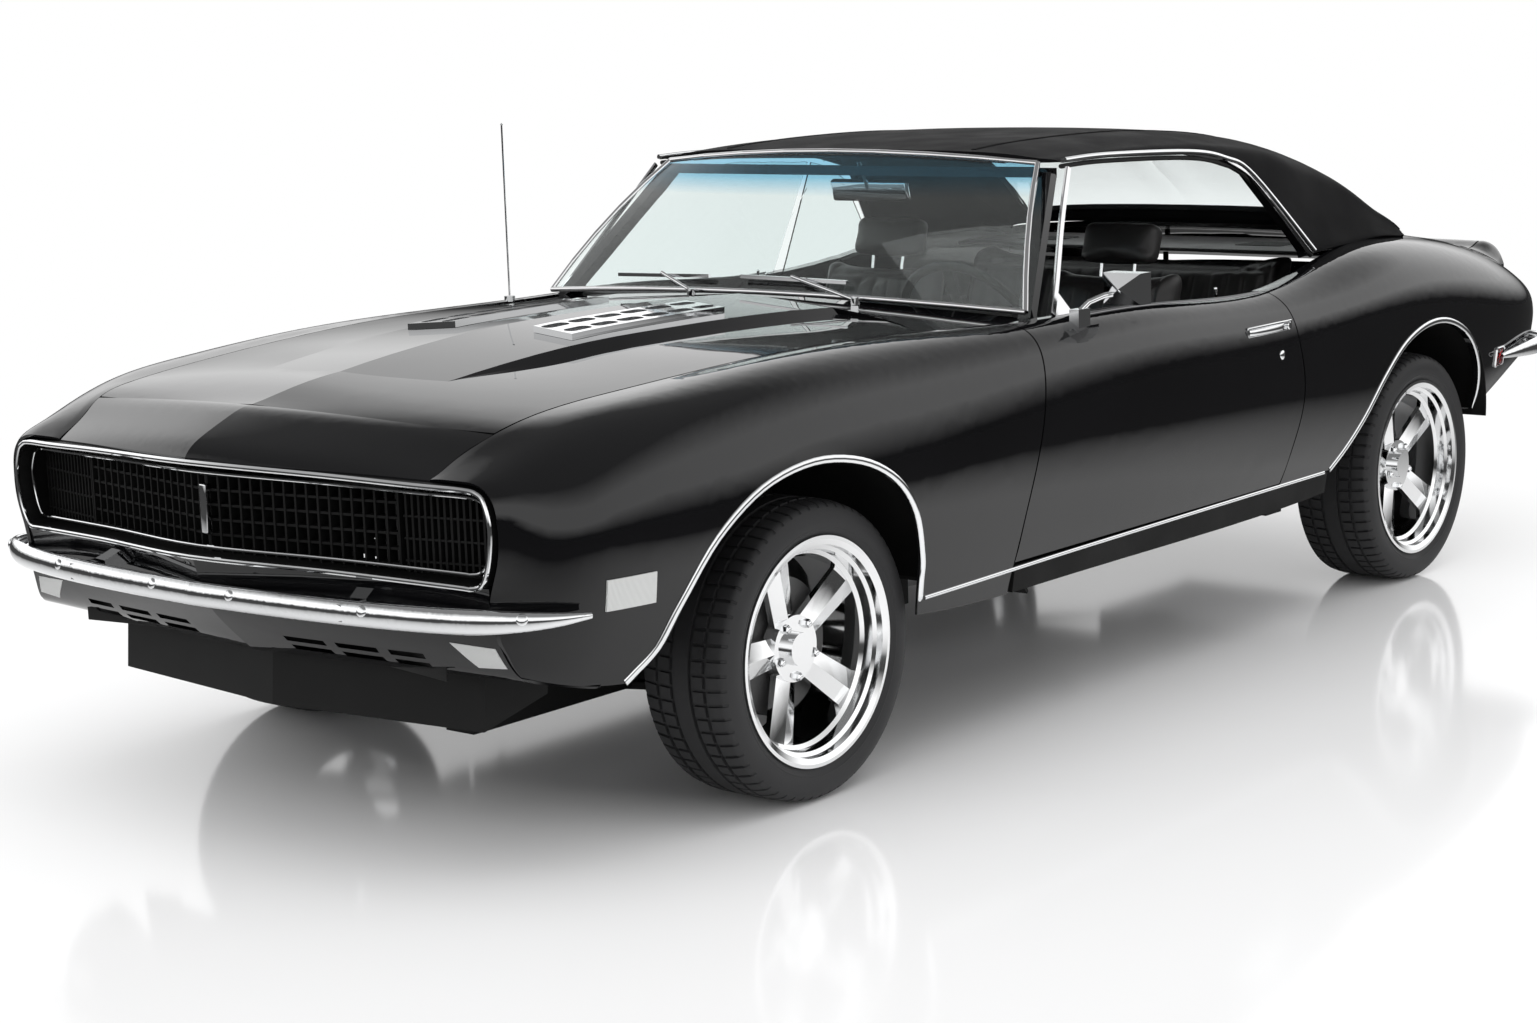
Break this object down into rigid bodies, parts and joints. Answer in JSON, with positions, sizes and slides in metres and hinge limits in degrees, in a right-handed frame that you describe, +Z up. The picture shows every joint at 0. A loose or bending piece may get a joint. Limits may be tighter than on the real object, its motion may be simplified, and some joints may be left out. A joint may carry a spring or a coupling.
{
  "type": "two-door hardtop muscle car",
  "caption": "Black two-door hardtop coupe with a full-width black grille, vinyl roof, chrome bumpers, opening doors, hood and decklid, steered front wheels and polished five-spoke rims.",
  "frame": {"origin": "on the ground under the middle of the car's bounding box", "axes": "+X towards the nose, +Y to the car's left, +Z up"},
  "size_m": [4.6914, 1.8897, 1.3907],
  "materials": {
    "body_paint": "gloss black lacquer",
    "underside": "satin black paint",
    "vinyl_roof": "grained black vinyl over steel",
    "chrome": "polished",
    "bright_trim": "polished stainless",
    "wheel_alloy": "polished",
    "tyre_rubber": "matt",
    "tinted_glass": "clear, aqua tint",
    "lamp_clear": "ribbed clear lens",
    "lamp_red": "ribbed red lens",
    "black_plastic": "satin",
    "interior": "black grained vinyl",
    "cast_metal": "rough",
    "steel": "plain"
  },
  "bodies": {
    "shell": {"underbody": "underside", "inner_fenders": "underside", "cowl": "body_paint", "roof": "vinyl_roof", "quarter_left": "body_paint", "quarter_right": "body_paint", "fender_left": "body_paint", "fender_right": "body_paint", "header_panel": "body_paint", "front_valance": "body_paint", "air_dam": "black_plastic", "grille": "black_plastic", "grille_frame": "black_plastic", "lamp_covers": "black_plastic", "front_lamps": "lamp_clear", "bumper_front": "chrome", "bumper_rear": "chrome", "tail_panel": "body_paint", "tail_lamps": "lamp_red", "windshield": "tinted_glass", "rear_glass": "tinted_glass", "window_trim": "bright_trim", "side_trim": "bright_trim", "wipers": "chrome", "antenna": "chrome", "dashboard": "interior", "front_seats": "interior", "rear_seat": "interior", "engine": "cast_metal", "front_subframe": "underside", "rear_axle": "cast_metal", "exhaust": "steel", "fuel_tank": "steel", "spoiler_ends": "body_paint"},
    "knuckle_left": {"knuckle_left": "cast_metal"},
    "knuckle_right": {"knuckle_right": "cast_metal"},
    "wheel_fl": {"tyre_fl": "tyre_rubber", "rim_fl": "wheel_alloy"},
    "wheel_fr": {"tyre_fr": "tyre_rubber", "rim_fr": "wheel_alloy"},
    "wheel_rl": {"tyre_rl": "tyre_rubber", "rim_rl": "wheel_alloy"},
    "wheel_rr": {"tyre_rr": "tyre_rubber", "rim_rr": "wheel_alloy"},
    "door_left": {"door_left": "body_paint", "door_mirror": "chrome"},
    "door_right": {"door_right": "body_paint", "door_glass_right": "tinted_glass"},
    "hood": {"hood": "body_paint", "hood_inserts": "chrome"},
    "decklid": {"decklid": "body_paint", "rear_spoiler": "body_paint"},
    "steering_wheel": {"steering_wheel": "black_plastic"}
  },
  "joints": [
    {"name": "steer_left", "type": "hinge", "parent": "shell", "child": "knuckle_left", "pos_m": [1.375, 0.69, 0.322], "axis": [0, 0, 1], "range_deg": [-30, 30]},
    {"name": "steer_right", "type": "hinge", "parent": "shell", "child": "knuckle_right", "pos_m": [1.375, -0.69, 0.322], "axis": [0, 0, 1], "range_deg": [-30, 30]},
    {"name": "wheel_fl_spin", "type": "hinge", "parent": "knuckle_left", "child": "wheel_fl", "pos_m": [1.375, 0.74, 0.322], "axis": [0, 1, 0], "continuous": true},
    {"name": "wheel_fr_spin", "type": "hinge", "parent": "knuckle_right", "child": "wheel_fr", "pos_m": [1.375, -0.74, 0.322], "axis": [0, 1, 0], "continuous": true},
    {"name": "wheel_rl_spin", "type": "hinge", "parent": "shell", "child": "wheel_rl", "pos_m": [-1.371, 0.7555, 0.322], "axis": [0, 1, 0], "continuous": true},
    {"name": "wheel_rr_spin", "type": "hinge", "parent": "shell", "child": "wheel_rr", "pos_m": [-1.371, -0.7555, 0.322], "axis": [0, 1, 0], "continuous": true},
    {"name": "door_left_hinge", "type": "hinge", "parent": "shell", "child": "door_left", "pos_m": [0.585, 0.91, 0.6], "axis": [0, 0, -1], "range_deg": [0, 62]},
    {"name": "door_right_hinge", "type": "hinge", "parent": "shell", "child": "door_right", "pos_m": [0.585, -0.91, 0.6], "axis": [0, 0, 1], "range_deg": [0, 62]},
    {"name": "hood_hinge", "type": "hinge", "parent": "shell", "child": "hood", "pos_m": [0.575, 0, 0.968], "axis": [0, -1, 0], "range_deg": [0, 50]},
    {"name": "decklid_hinge", "type": "hinge", "parent": "shell", "child": "decklid", "pos_m": [-1.615, 0, 0.984], "axis": [0, 1, 0], "range_deg": [0, 65]},
    {"name": "steering_wheel_turn", "type": "hinge", "parent": "shell", "child": "steering_wheel", "pos_m": [0.14, 0.385, 0.85], "axis": [-0.8829, 0, 0.4695], "range_deg": [-500, 500]}
  ],
  "couplings": [
    {"joint": "steer_right", "follows": "steer_left", "ratio": 1},
    {"joint": "steering_wheel_turn", "follows": "steer_left", "ratio": 16}
  ]
}
